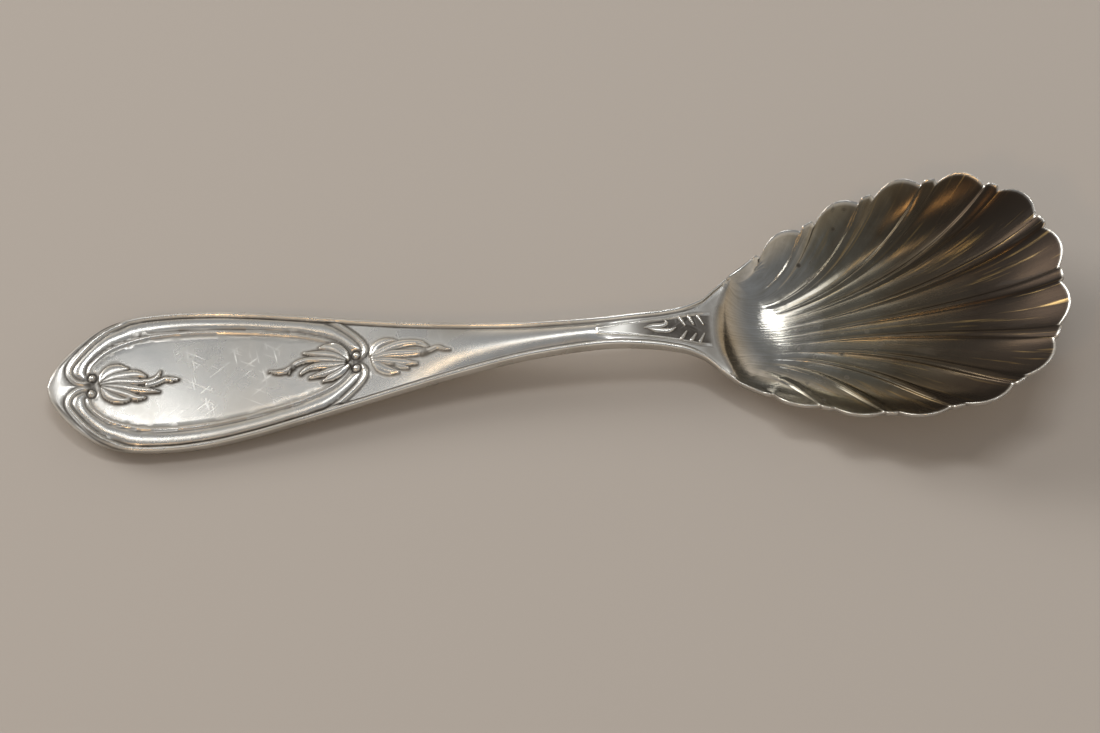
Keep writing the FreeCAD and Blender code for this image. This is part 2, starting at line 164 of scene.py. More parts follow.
def rimHalf(x):
    ahead = np.clip((x - plan["widestAt"]) / (plan["length"] - plan["widestAt"]), 0, 1)
    behind = np.clip((plan["widestAt"] - x) / (plan["widestAt"] - plan["notchAt"]), 0, None)
    front = plan["bowlHalf"] * (1 - ahead ** plan["frontPower"]) ** (1 / plan["frontPower"])
    rear = plan["bowlHalf"] - (plan["bowlHalf"] - plan["notchHalf"]) * behind ** plan["rearPower"]
    return np.where(x >= plan["widestAt"], front, rear)


# one side of the smooth rim, notch to tip, as close points with their distance along it
rearX = np.linspace(plan["notchAt"], plan["widestAt"], 400, endpoint=False)
turn = np.linspace(0, math.pi / 2, 600)
frontX = plan["widestAt"] + (plan["length"] - plan["widestAt"]) * np.sin(turn) ** (2 / plan["frontPower"])
frontY = plan["bowlHalf"] * np.clip(np.cos(turn), 0, 1) ** (2 / plan["frontPower"])
rimX = np.concatenate([rearX, frontX])
rimY = np.concatenate([rimHalf(rearX), frontY])
rimWay = np.concatenate([[0], np.cumsum(np.hypot(np.diff(rimX), np.diff(rimY)))])
rimLength = rimWay[-1]
lobeLength = rimLength / plan["lobes"]


def rimPlace(way, outward):
    # way runs from the notch on one side over the tip to the notch on the other side
    mirrored = way > rimLength
    along = np.where(mirrored, 2 * rimLength - way, way)
    x, y = np.interp(along, rimWay, rimX), np.interp(along, rimWay, rimY)
    step = 0.05
    ax, ay = np.interp(along - step, rimWay, rimX), np.interp(along - step, rimWay, rimY)
    bx, by = np.interp(along + step, rimWay, rimX), np.interp(along + step, rimWay, rimY)
    size = np.hypot(bx - ax, by - ay)
    nx, ny = -(by - ay) / size, (bx - ax) / size
    x, y = x + nx * outward, y + ny * outward
    return x, np.where(mirrored, -y, y)


def lobeOffset(way):
    # how far the scalloped edge stands outside the smooth rim
    place = np.mod(way, lobeLength)
    fromTab = np.minimum(place, lobeLength - place)
    foot = plan["tabHalf"] + plan["notchRun"]
    half = lobeLength / 2 - foot
    swell = 1 - ((lobeLength / 2 - fromTab) / half) ** 2
    lobe = -plan["notchDepth"] + (plan["lobeBulge"] + plan["notchDepth"]) * swell
    tabEdge = [plan["tabReach"], plan["tabReach"], -plan["notchDepth"]]
    tab = np.interp(fromTab, [0, plan["tabHalf"], foot], tabEdge)
    return np.where(fromTab < foot, tab, lobe)


def openLine(y):
    return bowl["openAt"] + bowl["openBend"] * y ** 2


def rimHeight(x):
    # height of the edge, level from a little past the tip
    return edgeHeight(np.minimum(x, plan["length"] + 1))


# reach from the hub of the bowl to its smooth edge, by direction, found by halving
angles = np.linspace(0, math.pi, 721)
near, far = np.zeros_like(angles), np.full_like(angles, 60.0)
for halving in range(34):
    middle = (near + far) / 2
    px, py = bowl["hubAt"] + middle * np.cos(angles), middle * np.sin(angles)
    inside = (px > openLine(py)) & (px < plan["length"])
    inside &= np.where(px >= plan["notchAt"], py < rimHalf(px), py < handleHalf(px))
    near, far = np.where(inside, middle, near), np.where(inside, far, middle)
reachTable = near


def bowlFloor(x, y):
    dx = x - bowl["hubAt"]
    angle = np.arctan2(np.abs(y), dx)
    away = np.hypot(dx, y) / np.interp(angle, angles, reachTable)
    endFall = np.where(dx < 0, bowl["heelFall"], bowl["tipFall"])
    fall = bowl["sideFall"] + (endFall - bowl["sideFall"]) * np.cos(angle) ** 2
    return rimHeight(x) - bowl["depth"] * (1 - away ** fall)


# the ornament in plan, upper half; the lower half mirrors the scrolls

scroll = {
    "lineHalf": 0.33,
    "lineRise": 0.3,
    "fieldDrop": 0.5,
    "bandRise": 0.42,
    "bandStart": 0.5,
    "bandSpare": 0.85,
    "bandFull": 1.9,
    "crown": 0.16,
    "crownHalf": 8.2,
    "ballHalf": 0.55,
    "ballRise": 0.5,
    "frameHalf": 0.4,
    "frameRise": 0.42,
    "frameEnd": 50.5,
    "ovalEnd": 49.0,
    "left": [
        (6.85, 1.35), (6.75, 0.75), (6.2, 0.5), (5.4, 0.45), (4.4, 0.8), (3.6, 1.6), (3.25, 2.6),
        (3.55, 3.8), (5.0, 5.75), (6.7, 7.6), (8.3, 8.95), (9.9, 9.85), (12.0, 10.8)],
    "right": [
        (42.0, 8.2), (43.4, 7.85), (45.3, 6.75), (47.4, 5.0), (48.9, 3.4), (49.5, 2.1), (49.25, 1.2),
        (48.6, 0.75), (48.1, 1.1)],
    "oval": [
        (6.3, 2.3), (6.45, 3.2), (7.0, 4.0), (8.0, 5.0), (9.8, 6.25), (12.8, 7.35), (16.0, 8.0),
        (19.5, 8.2), (24.0, 8.1), (30.3, 7.4), (36.0, 6.35), (39.4, 5.6), (43.0, 4.4), (45.0, 3.4),
        (46.5, 2.1), (47.1, 0.9), (47.2, 0.0)],
    "balls": [(6.85, 1.35), (48.1, 1.1)],
}
thread = {"half": 0.37, "fade": (10.0, 13.0), "plainRun": 0.5, "plainDrop": 0.45}
groove = {"at": 0.92, "half": 0.24, "depth": 0.1, "start": (12.5, 15), "end": (99, 103)}
ovalFoot = {"at": 0.51, "half": 0.24, "depth": 0.08, "darkWithin": 0.55, "darkOutside": 0.8}
frameFoot = {"at": 0.6, "half": 0.28, "depth": 0.06, "dark": 0.85, "gap": (14, 40.5), "end": 50.6}
ballRing = {"at": 0.74, "half": 0.3, "depth": 0.2, "dark": 0.95}
pinch = {"places": (6.6, 48.6), "stretch": 1.5, "half": 0.85, "dark": 0.9}
nose = {
    "end": 13.0,
    "rise": 0.62,
    "full": 2.4,
    "edgeAt": 0.95,
    "edgeHalf": 0.45,
    "edgeStart": (0.0, 2.0),
    "edgeShade": 0.5,
    "dark": 0.24,
}
heelShade = {"run": (99.5, 102.5), "inset": (0.8, 1.6), "dark": 0.5}
ridge = {
    "start": 48.0,
    "full": 66.0,
    "fade": 84.0,
    "end": 88.0,
    "margin": 1.0,
    "leastHalf": 0.8,
    "rise": 0.52,
}


def smoothLine(points, count):
    # a round line through the points by equal steps
    points = np.array(points, float)
    way = np.concatenate([[0], np.cumsum(np.hypot(*np.diff(points, axis=0).T))])
    padded = np.vstack([2 * points[0] - points[1], points, 2 * points[-1] - points[-2]])
    steps = np.linspace(0, way[-1], count)
    i = np.clip(np.searchsorted(way, steps, side="right") - 1, 0, len(points) - 2)
    t = ((steps - way[i]) / (way[i + 1] - way[i]))[:, None]
    a, b, c, d = padded[i], padded[i + 1], padded[i + 2], padded[i + 3]
    bend, twist = 2 * a - 5 * b + 4 * c - d, 3 * b - a - 3 * c + d
    return 0.5 * (2 * b + (c - a) * t + bend * t ** 2 + twist * t ** 3)


def lineDistance(x, y, line):
    # distance to a polyline, and the share of the way along it
    best = np.full(x.shape, 1e9)
    share = np.zeros(x.shape)
    lengths = np.hypot(*np.diff(line, axis=0).T)
    total = lengths.sum()
    start = 0.0
    for (ax, ay), (bx, by), run in zip(line[:-1], line[1:], lengths):
        t = np.clip(((x - ax) * (bx - ax) + (y - ay) * (by - ay)) / max(run * run, 1e-9), 0, 1)
        distance = np.hypot(x - ax - t * (bx - ax), y - ay - t * (by - ay))
        nearer = distance < best
        best = np.where(nearer, distance, best)
        share = np.where(nearer, (start + t * run) / total, share)
        start += run
    return best, share


def insidePolygon(x, y, corners):
    within = np.zeros(x.shape, bool)
    for (ax, ay), (bx, by) in zip(corners, np.roll(corners, -1, axis=0)):
        crosses = (ay > y) != (by > y)
        at = ax + (y - ay) * (bx - ax) / np.where(by == ay, 1e-9, by - ay)
        within ^= crosses & (x < at)
    return within


leftLine = smoothLine(scroll["left"], 60)
rightLine = smoothLine(scroll["right"], 40)
ovalLine = smoothLine(scroll["oval"], 90)
threadX = np.linspace(12.5, 41.5, 40)
threadLine = np.stack([threadX, handleHalf(threadX) - thread["half"]], 1)
frameLine = np.vstack([leftLine, threadLine, rightLine])
justBelow = -0.01    # the areas are closed a little under the middle line
frameEnds = [(scroll["right"][-1][0], justBelow), (scroll["left"][0][0], justBelow)]
frameCorners = np.vstack([frameLine, frameEnds])
ovalCorners = np.vstack([ovalLine, [(scroll["oval"][0][0], justBelow)]])

# each leaf lobe is a stroke: centre line, then half widths along it; the lobes lie on a low body
leaves = {
    "end": [
        [(8.3, 0.5), (8.7, 1.5), (9.7, 2.3), (11.0, 2.55), (12.2, 2.45)], [0.4, 0.75, 0.95, 0.85, 0.35],
        [(8.6, 0.5), (10.2, 1.25), (12.2, 1.5), (13.9, 1.45), (15.1, 1.0)], [0.4, 0.7, 0.75, 0.7, 0.25],
        [(8.5, 0.1), (10.4, 0.45), (12.4, 0.35), (14.2, 0.15), (16.0, 0.25), (17.0, 0.75), (17.5, 1.65)],
        [0.4, 0.55, 0.62, 0.6, 0.45, 0.38, 0.12],
        [(8.6, -0.8), (9.5, -1.9), (10.9, -2.65), (12.1, -2.9), (12.9, -2.75)], [0.4, 0.75, 0.75, 0.5, 0.2],
        [(8.7, -0.5), (10.8, -1.25), (12.6, -2.0), (14.0, -2.65), (15.1, -2.6)], [0.4, 0.65, 0.6, 0.55, 0.2],
        [(8.7, -0.2), (11.0, -0.45), (13.2, -0.95), (15.2, -1.35), (17.3, -1.75)],
        [0.4, 0.55, 0.6, 0.5, 0.12],
        [(15.6, -0.45), (17.0, -0.15), (18.2, 0.35), (19.0, 0.2), (20.3, 0.1)], [0.5, 0.48, 0.4, 0.42, 0.12],
    ],
    "field": [
        [(46.8, 0.5), (46.0, 1.7), (44.9, 2.6), (43.6, 2.95), (42.5, 2.9)], [0.35, 0.72, 0.85, 0.7, 0.25],
        [(46.4, 0.4), (44.8, 1.4), (43.0, 1.85), (41.4, 2.1), (39.9, 2.35)], [0.35, 0.6, 0.65, 0.5, 0.12],
        [(46.3, 0.1), (44.3, 0.65), (42.2, 1.0), (40.4, 1.15), (38.9, 0.8), (38.0, 0.1), (37.6, -0.9)],
        [0.35, 0.5, 0.55, 0.5, 0.48, 0.42, 0.12],
        [(46.2, -0.3), (44.0, -0.2), (42.0, -0.1), (40.4, -0.4), (39.5, -1.1)], [0.4, 0.6, 0.62, 0.5, 0.25],
        [(46.8, -0.7), (45.6, -1.6), (44.3, -2.25), (43.0, -2.85)], [0.35, 0.65, 0.62, 0.2],
        [(46.2, -0.6), (44.4, -1.15), (42.6, -1.6), (40.9, -1.95)], [0.35, 0.62, 0.55, 0.2],
        [(38.2, 0.2), (37.0, -0.35), (35.9, -0.4), (34.5, -0.1)], [0.45, 0.42, 0.34, 0.1],
    ],
    "stem": [
        [(50.5, 0.8), (51.1, 2.0), (52.3, 2.65), (53.6, 2.75), (54.5, 2.55)], [0.4, 0.75, 0.75, 0.55, 0.2],
        [(50.8, 0.6), (52.8, 1.45), (54.8, 1.95), (56.6, 1.95), (58.2, 1.6), (59.3, 0.7)],
        [0.4, 0.7, 0.7, 0.62, 0.5, 0.3],
        [(50.7, 0.2), (53.0, 0.5), (55.2, 0.35), (57.2, 0.1), (59.0, 0.0)], [0.4, 0.6, 0.66, 0.6, 0.5],
        [(50.8, -0.2), (53.0, -0.65), (55.2, -1.25), (57.5, -1.75)], [0.4, 0.62, 0.66, 0.25],
        [(50.9, -0.6), (51.9, -1.6), (53.2, -2.35), (54.6, -2.75)], [0.4, 0.75, 0.7, 0.25],
        [(53.8, -1.0), (55.0, -1.8), (56.2, -2.35)], [0.3, 0.5, 0.2],
        [(58.5, -0.1), (59.8, 0.2), (60.9, 0.45), (61.8, 0.0), (62.8, -0.3)], [0.5, 0.45, 0.38, 0.28, 0.1],
    ],
    "neck": [
        [(92.6, 0.1), (94.0, 0.4), (95.2, 0.5), (96.0, 0.85), (95.7, 1.35)], [0.15, 0.42, 0.45, 0.35, 0.15],
        [(93.2, -0.05), (94.8, -0.3), (96.3, -0.35), (97.3, 0.1)], [0.15, 0.45, 0.4, 0.12],
        [(98.0, 1.75), (98.7, 0.5)], [0.3, 0.16], [(99.4, 1.95), (100.0, 0.7)], [0.3, 0.16],
        [(98.1, -1.75), (98.9, -0.55)], [0.3, 0.16], [(99.6, -2.0), (100.3, -0.9)], [0.3, 0.16],
        [(100.9, -2.1), (101.6, -0.8)], [0.3, 0.16], [(100.8, 2.1), (101.5, 0.8)], [0.3, 0.16],
    ],
    "rise": {"end": 0.36, "field": 0.34, "stem": 0.4, "neck": 0.28},
    "dark": {"end": 0.95, "field": 0.95, "stem": 0.7, "neck": 0.3},
    "body": {"end": 0.14, "field": 0.14, "stem": 0.12, "neck": 0.0},
    "span": {"end": (7.5, 21), "field": (33.5, 47.5), "stem": (49.8, 64), "neck": (92, 103)},
    "spanHalf": 4.5,
    "creaseRun": 0.42,
    "shadowRun": 0.6,
}
panel = {
    "start": 85.3,
    "end": 102.6,
    "rise": 0.3,
    "sink": 0.28,
    "sinkRun": (90.0, 94.0),
    "lipHalf": 0.22,
    "lipRise": 0.26,
    "lipFade": (100.4, 102.0),
    "edgeRun": (-0.05, 0.42),
    "endSlope": 1.2,
    "groundRun": (0.36, 0.5),
    "groundBefore": 0.6,
    "groundAfter": 0.9,
    "groundDark": (0.35, 0.5),
    "groundDeepens": (89, 95),
    "footAt": 0.16,
    "footHalf": 0.2,
    "footPast": 0.3,
    "footDark": 0.6,
    "halves": Curve([
        (85.3, 0.6), (89, 1.03), (92.3, 1.4), (95.3, 1.76), (98, 2.25), (100.5, 2.7), (102.6, 2.9)]),
}


def strokesHeight(x, y, name):
    # height of the leaf over the field, distance outside its outline, and how deep its creases are
    rise = leaves["rise"][name]
    parts = leaves[name]
    tops, edges = [], []
    for centre, widths in zip(parts[0::2], parts[1::2]):
        distance, share = lineDistance(x, y, smoothLine(centre, 14))
        width = Curve(list(zip(np.linspace(0, 1, len(widths)), widths)))(share)
        tops.append(rise * np.sqrt(np.clip(1 - (distance / width) ** 2, 0, 1)))
        edges.append(distance - width)
    tops, edges = np.sort(tops, axis=0), np.sort(edges, axis=0)
    outline = edges[0]
    crease = (outline < 0.05) * np.clip(1 - (edges[1] - edges[0]) / leaves["creaseRun"], 0, 1)
    body = leaves["body"][name] * easeIn(-outline, -0.25, 0.1)
    return tops[-1] + body, outline, crease


def cartoucheRelief(x, up, inset):
    # height of the field, the band round the oval and the plain nose, over the edge line, with the painted
    # shade on the nose
    drop = scroll["fieldDrop"]
    frameAway = lineDistance(x, up, frameLine)[0]
    ovalAway = lineDistance(x, up, ovalLine)[0]
    inFrame = insidePolygon(x, up, frameCorners)
    inOval = insidePolygon(x, up, ovalCorners)

    crown = scroll["crown"] * hump(up, scroll["crownHalf"])
    height = np.where(inOval, -drop + crown, -drop)
    gap = np.maximum(frameAway + ovalAway - scroll["bandSpare"], 0.2)
    share = np.clip((frameAway - scroll["bandStart"]) / gap, 0, 1)
    bandRise = scroll["bandRise"] * np.clip(gap / scroll["bandFull"], 0.25, 1)
    band = -drop + bandRise * np.sqrt(np.clip(1 - (2 * share - 1) ** 2, 0, 1)) ** 1.15
    height = np.where(inFrame & ~inOval, band, height)
    # nose: smooth and full, from the very end to between the scrolls
    onNose = ~inFrame & (x < nose["end"])
    across = np.clip(inset / np.maximum(inset + frameAway, 0.3), 0, 1)
    full = np.clip((inset + frameAway) / nose["full"], 0.2, 1)
    height = np.where(onNose, -drop + nose["rise"] * np.sin(np.pi * across) ** 0.6 * full, height)
    # painted shade: a dark band just inside the nose's rounded edge, and the whole nose a little darker
    nearEdge = hump(inset - nose["edgeAt"], nose["edgeHalf"]) * onNose * easeIn(x, *nose["edgeStart"])
    patina = nose["edgeShade"] * nearEdge + nose["dark"] * onNose
    return height, patina, frameAway, ovalAway, inOval


def neckRelief(x, up, height, patina):
    # sunk panel on the neck, with a fine lip; its dark ground runs out towards the bowl
    side = panel["halves"](x) - up
    fromStart = x - panel["start"]
    toEdge = np.minimum(side, np.minimum(fromStart, (panel["end"] - x) * panel["endSlope"]))
    rise = panel["rise"] - panel["sink"] * easeIn(x, *panel["sinkRun"])
    raised = rise * easeIn(toEdge, *panel["edgeRun"])
    lip = panel["lipRise"] * hump(toEdge - panel["lipHalf"], panel["lipHalf"]) * (toEdge > 0)
    lip = lip * (1 - easeIn(x, *panel["lipFade"]))
    height = np.where(toEdge > panel["edgeRun"][0], height + np.maximum(raised, lip), height)
    ground = easeIn(np.minimum(side, fromStart), *panel["groundRun"])
    groundEnd = panel["end"] - panel["groundBefore"], panel["end"] + panel["groundAfter"]
    ground = ground * (1 - easeIn(x, *groundEnd))
    pale, deeper = panel["groundDark"]
    patina = np.maximum(patina, ground * (pale + deeper * easeIn(x, *panel["groundDeepens"])))
    foot = hump(toEdge + panel["footAt"], panel["footHalf"])
    foot = foot * (x < panel["end"] + panel["footPast"]) * (x > panel["start"])
    return height, np.maximum(patina, panel["footDark"] * foot), toEdge


def faceRelief(x, y):
    # height over the edge line and how dark the patina and painted shade lie, for the front of the handle
    up = np.abs(y)
    half = handleHalf(x)
    inset = half - up
    drop = scroll["fieldDrop"]
    height, noseShade, frameAway, ovalAway, inOval = cartoucheRelief(x, up, inset)
    # stem: a rounded ridge
    stem = easeIn(x, ridge["start"], ridge["full"])
    ridgeFade = stem * (1 - easeIn(x, ridge["fade"], ridge["end"]))
    crest = hump(y, np.maximum(half - ridge["margin"], ridge["leastHalf"]))
    height = np.where(x > ridge["start"], height + ridgeFade * ridge["rise"] * crest, height)
    # grooves beside the border thread
    cut = hump(inset - groove["at"], groove["half"])
    cut = cut * easeIn(x, *groove["start"]) * (1 - easeIn(x, *groove["end"]))
    height = height - groove["depth"] * cut
    patina = np.maximum(cut * (0.95 - 0.1 * stem), noseShade)
    height, patina, toPanel = neckRelief(x, up, height, patina)
    # painted shade over the end of the handle beside the heel, outside the panel
    shade = heelShade["dark"] * easeIn(x, *heelShade["run"]) * easeIn(inset, *heelShade["inset"])
    patina = np.maximum(patina, shade * (toPanel < 0))

    # narrow raised lines, with dark grooves at their feet
    byOval = x < scroll["ovalEnd"]
    beside = hump(ovalAway - ovalFoot["at"], ovalFoot["half"]) * byOval
    ovalTube = -drop + scroll["lineRise"] * np.sqrt(hump(ovalAway, scroll["lineHalf"]))
    height = height - ovalFoot["depth"] * beside
    height = np.where(byOval, np.maximum(height, ovalTube), height)
    patina = np.maximum(patina, beside * np.where(inOval, ovalFoot["darkWithin"], ovalFoot["darkOutside"]))
    byScroll = ((x < frameFoot["gap"][0]) | (x > frameFoot["gap"][1])) * (x < frameFoot["end"])
    beside = hump(frameAway - frameFoot["at"], frameFoot["half"]) * byScroll
    frameTube = -drop + scroll["frameRise"] * np.sqrt(hump(frameAway, scroll["frameHalf"]))
    height = height - frameFoot["depth"] * beside
    height = np.where(x < scroll["frameEnd"], np.maximum(height, frameTube), height)
    patina = np.maximum(patina, frameFoot["dark"] * beside)
    for cx, cy in scroll["balls"]:
        away = np.hypot(x - cx, up - cy)
        ball = scroll["ballRise"] * np.sqrt(hump(away, scroll["ballHalf"]))
        ring = hump(away - ballRing["at"], ballRing["half"])
        height = np.maximum(height - ballRing["depth"] * ring, -drop + ball)
        patina = np.where(away < scroll["ballHalf"], 0.0, np.maximum(patina, ballRing["dark"] * ring))
    # the pinch between the scrolls stays dark
    for cx in pinch["places"]:
        away = np.hypot((x - cx) / pinch["stretch"], y)
        patina = np.maximum(patina, pinch["dark"] * hump(away, pinch["half"]))

    # border thread, which gives way to a plain rounded edge at the nose
    threadHalf = thread["half"]
    threadFade = easeIn(x, *thread["fade"])
    threadHeight = -threadHalf + np.sqrt(hump(inset - threadHalf, threadHalf)) * threadHalf
    rounding = np.sqrt(np.clip(1 - (1 - np.clip(inset / thread["plainRun"], 0, 1)) ** 2, 0, 1))
    plainEdge = -thread["plainDrop"] + thread["plainDrop"] * rounding
    inThread = inset < 2 * threadHalf
    threaded = threadHeight * threadFade + np.minimum(plainEdge, height) * (1 - threadFade)
    height = np.where(inThread, threaded, height)

    for name, (low, high) in leaves["span"].items():
        near = np.nonzero((x > low) & (x < high) & (up < leaves["spanHalf"]))[0]
        leafHeight, outline, crease = strokesHeight(x[near], y[near], name)
        height[near] += leafHeight
        shadow = np.clip(1 - np.maximum(outline, 0) / leaves["shadowRun"], 0, 1) ** 0.7
        strength = leaves["dark"][name]
        inside = outline < -0.03
        patina[near] = np.where(inside, 0.0, np.maximum(patina[near], strength * shadow))
        patina[near] = np.maximum(patina[near], strength * crease)
    patina = np.where(inThread & (x > nose["end"]), 0.0, patina)
    return height, np.clip(patina, 0, 1)


def facePlan(row, column):
    # handle part of the sheet: row 0 at the nose, rowsHandle at the heel line
    x = np.interp(row, sheet["rowMarks"], sheet["rowPlaces"])
    side = np.sign(column)
    share = np.abs(column)
    noseBend = plan["noseRun"] * share ** 2 * (1 - easeIn(x, 0, 6))
    heelBend = bowl["openBend"] * easeIn(x, 92, bowl["openAt"])
    at = x + noseBend
    for turnCount in range(3):
        half = handleHalf(at)
        y = columnPlace(share, half)
        at = x + noseBend + heelBend * y ** 2
    return at, side * columnPlace(share, handleHalf(at))


def columnPlace(share, half):
    # outer columns keep their distance from the edge, for the thread; the inner ones share the field
    cut = sheet["threadColumns"] / sheet["halfColumns"]
    field = half - sheet["threadInsets"][-1]
    inner = field * share / (1 - cut)
    marks = np.linspace(1, 1 - cut, sheet["threadColumns"] + 1)[::-1]
    insets = np.interp(share, marks, sheet["threadInsets"][::-1])
    return np.where(share < 1 - cut, inner, half - insets)


sheet = {
    "rowMarks": [0, 38, 132, 168, 208, 222],
    "rowPlaces": [0.0, 13.0, 60.0, 85.0, 100.5, 103.0],
    "rowsHandle": 222,
    "rowsBowl": 64,
    "halfColumns": 27,
    "threadColumns": 12,
    "threadInsets": [0.0, 0.04, 0.11, 0.21, 0.33, 0.45, 0.57, 0.69, 0.79, 0.88, 1.02, 1.18, 1.36],
    "cutsAcross": 3,
    "rimInsets": [0.0, 0.04, 0.1, 0.18, 0.3, 0.45, 0.7, 1.0],
    "tabSpots": [0.0, 0.45, 0.8, 0.95, 1.1, 1.4, 2.05, 2.9, 3.85, 4.845],
    "fineReach": (0.7, 0.35),
    "fineShare": 0.62,
    "fineRowsOff": 1.2,
}
# from this row on, rows keep their distance from the rim
firstRimRow = sheet["rowsBowl"] - len(sheet["rimInsets"]) + 1


def rimRowInset(row):
    return np.interp(row, np.arange(firstRimRow, sheet["rowsBowl"] + 1), sheet["rimInsets"][::-1])


def lobeWay(column):
    # distance along the rim for a column, with the columns drawn together at the tabs
    place = (1 - column) * plan["lobes"]
    lobe = np.floor(place + 1e-9)
    part = place - lobe
    fromTab = np.minimum(part, 1 - part)
    spots = np.array(sheet["tabSpots"]) * (lobeLength / 2) / sheet["tabSpots"][-1]
    marks = np.linspace(0, 0.5, len(spots))
    distance = np.interp(fromTab, marks, spots)
    return np.where(part < 0.5, lobe * lobeLength + distance, (lobe + 1) * lobeLength - distance)


def bowlPlan(row, column):
    # bowl part of the sheet: from the heel line out along the flow of the flutes to the scalloped rim
    way = lobeWay(column)
    endX, endY = rimPlace(way, lobeOffset(way))
    startX, startY = facePlan(np.full(column.shape, float(sheet["rowsHandle"])), column)
    length = np.hypot(endX - startX, endY - startY)
    inner = np.clip(row / firstRimRow, 0, 1) * (1 - sheet["rimInsets"][-1] / length)
    along = np.where(row <= firstRimRow, inner, 1 - rimRowInset(row) / length)
    outer = np.abs(column) ** 6
    straight = 0.3 + 0.7 * outer
    spreadOut = straight * along + (1 - straight) * along ** 2.5
    even = easeIn(along, 0.0, bowl["fanStart"])
    evenStart = column * bowl["fanHalf"]
    begin = startY + (evenStart - startY) * even * (1 - outer)
    x = startX + (endX - startX) * along
    y = begin * (1 - along) ** (2 - outer) + endY * spreadOut
    return x, y, along


def flutePress(along, column):
    # hollow of the flutes, shallow where they start and in the first lobes beside the neck
    place = (1 - column) * plan["lobes"]
    wave = np.sin(np.pi * np.mod(place, 1.0)) ** 2
    full = easeIn(along, bowl["fluteStart"], bowl["fluteFull"])
    full = full * (1 - bowl["sideEase"] * easeIn(np.abs(column), *bowl["sideShare"]))
    return full * wave ** 0.75


def softMin(a, b, soft):
    gap = np.clip(0.5 + 0.5 * (b - a) / soft, 0, 1)
    return b + (a - b) * gap - soft * gap * (1 - gap)


def handleBack(x, y):
    across = np.clip(np.abs(y) / handleHalf(x), 0, 1)
    return edgeHeight(x) - edgeThick(x) - backDome(x) * (1 - across ** 2)


def outlineInset(x, y, rimInset):
    # distance in from the outline, square to it
    at = np.minimum(x, plan["notchAt"])
    step = 0.1
    slope = (handleHalf(at + step) - handleHalf(at - step)) / (2 * step)
    side = (handleHalf(at) - np.abs(y)) / np.sqrt(1 + slope ** 2)
    return np.minimum(np.where(x > plan["notchAt"], farOff, side), rimInset)


# the sheet: a flat grid in rows and columns, cut finer where it needs it, then shaped

def deselectAll():
    bpy.ops.object.select_all(action="DESELECT")


rowsAll = sheet["rowsHandle"] + sheet["rowsBowl"]
columnsAll = 2 * sheet["halfColumns"]
deselectAll()
bpy.ops.mesh.primitive_grid_add(
    x_subdivisions=rowsAll, y_subdivisions=columnsAll, size=1, location=(0, 0, 0))
spoon = bpy.context.object
spoon.name = "spoon_silver"
mesh = spoon.data


def readPoints(mesh):
    flat = np.empty(len(mesh.vertices) * 3)
    mesh.vertices.foreach_get("co", flat)
    return flat.reshape(-1, 3)


points = readPoints(mesh)
points[:, 0] = (points[:, 0] + 0.5) * rowsAll
points[:, 1] = points[:, 1] * 2
mesh.vertices.foreach_set("co", points.ravel())
print("grid", len(mesh.vertices), "corners; rows", len(np.unique(points[:, 0].round(3))))


def pickParts(kind, chosen):
    # selects the chosen corners, edges or faces, and stays in edit mode
    bpy.ops.object.mode_set(mode="EDIT")
    bpy.ops.mesh.select_mode(type=kind)
    bpy.ops.mesh.select_all(action="DESELECT")
    bpy.ops.object.mode_set(mode="OBJECT")
    parts = {"VERT": mesh.vertices, "EDGE": mesh.edges, "FACE": mesh.polygons}[kind]
    parts.foreach_set("select", chosen)
    bpy.ops.object.mode_set(mode="EDIT")


# the bowl needs many more columns than the handle
mesh.update()
edges = np.empty(len(mesh.edges) * 2, int)
mesh.edges.foreach_get("vertices", edges)
edges = edges.reshape(-1, 2)
rowA, rowB = points[edges[:, 0], 0], points[edges[:, 1], 0]
pickParts("EDGE", (np.abs(rowA - rowB) < 1e-4) & (rowA > sheet["rowsHandle"] - 0.5))
bpy.ops.mesh.subdivide(number_cuts=sheet["cutsAcross"])

# a second sheet for the back, turned over and joined to the first all round
bpy.ops.mesh.select_mode(type="VERT")
bpy.ops.mesh.select_all(action="SELECT")
bpy.ops.mesh.duplicate()
bpy.ops.transform.translate(value=(0, 0, -1))
bpy.ops.mesh.flip_normals()
bpy.ops.mesh.select_all(action="SELECT")
bpy.ops.mesh.select_mode(type="EDGE")
bpy.ops.mesh.select_all(action="DESELECT")
bpy.ops.mesh.select_non_manifold(
    extend=False, use_wire=False, use_multi_face=False, use_non_contiguous=False, use_verts=False)
bpy.ops.mesh.bridge_edge_loops(number_cuts=3, interpolation="LINEAR")
bpy.ops.object.mode_set(mode="OBJECT")
print("sheets joined", len(mesh.polygons))


